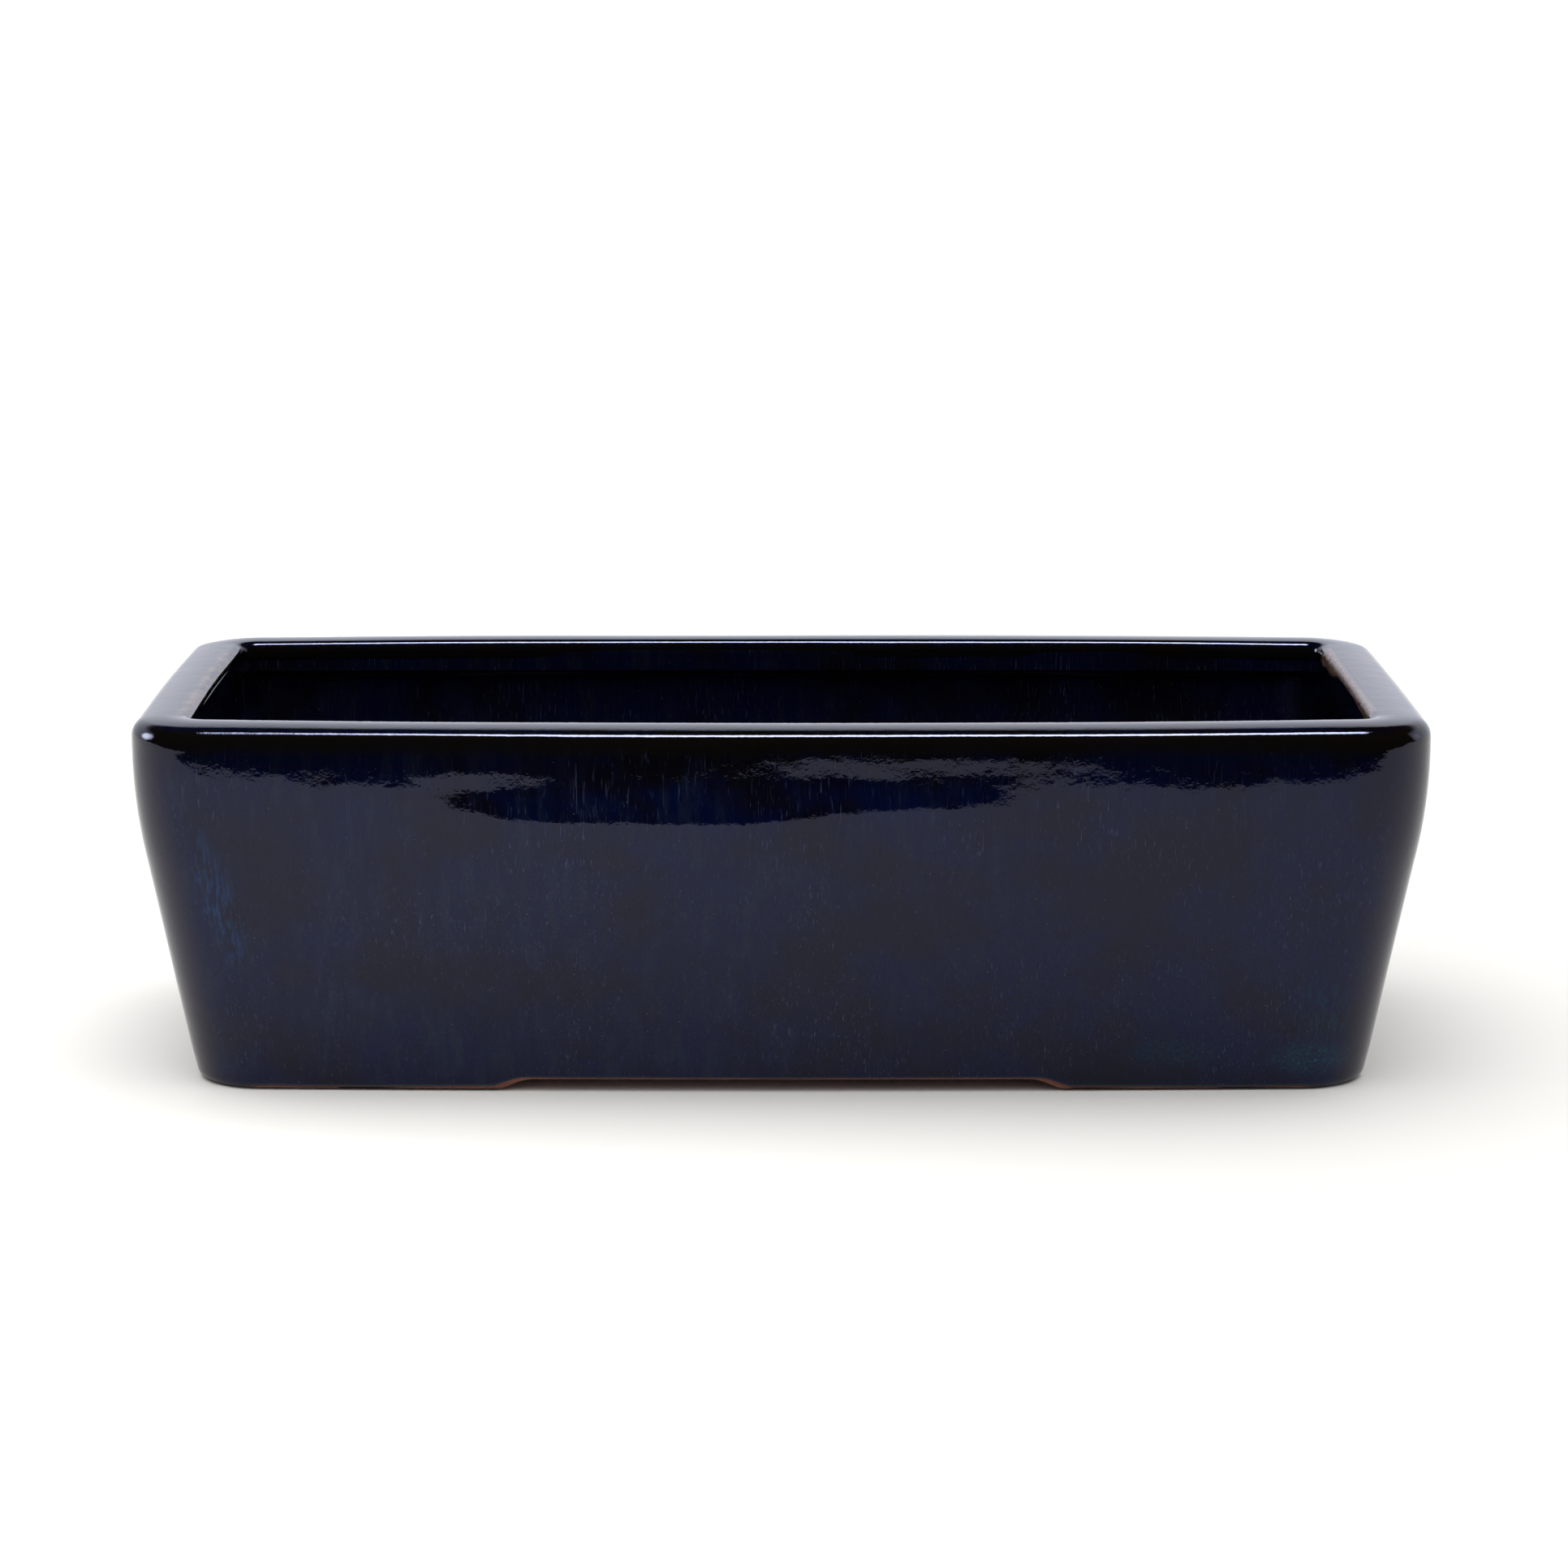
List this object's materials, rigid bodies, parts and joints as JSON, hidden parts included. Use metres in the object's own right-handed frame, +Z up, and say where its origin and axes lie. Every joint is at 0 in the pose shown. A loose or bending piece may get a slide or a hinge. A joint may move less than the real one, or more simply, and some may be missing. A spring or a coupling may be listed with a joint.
{
  "type": "bonsai pot",
  "caption": "Low rectangular ceramic bonsai pot with rounded corners, a thick rim, leaning walls, arched feet, dark blue glaze, and screened drain holes in its floor.",
  "frame": {"origin": "on the surface the pot stands on, under the middle of the pot", "axes": "+X along the pot, +Y across it towards the back wall, +Z up"},
  "size_m": [0.24, 0.11, 0.07],
  "materials": {
    "fired_clay": "bare red-brown stoneware clay, matt",
    "outer_glaze": "glossy dark navy glaze with mottled blue streaks and brown-black edges",
    "inner_glaze": "glossy blue-black and brown glaze",
    "screen_plastic": "black moulded plastic mesh",
    "clip_wire": "satin brown anodised aluminium wire"
  },
  "bodies": {
    "root": {"clay_body": "fired_clay", "outer_glaze": "outer_glaze", "inner_glaze": "inner_glaze", "drain_screen_left": "screen_plastic", "drain_screen_right": "screen_plastic", "screen_clip_left": "clip_wire", "screen_clip_right": "clip_wire"}
  },
  "joints": []
}
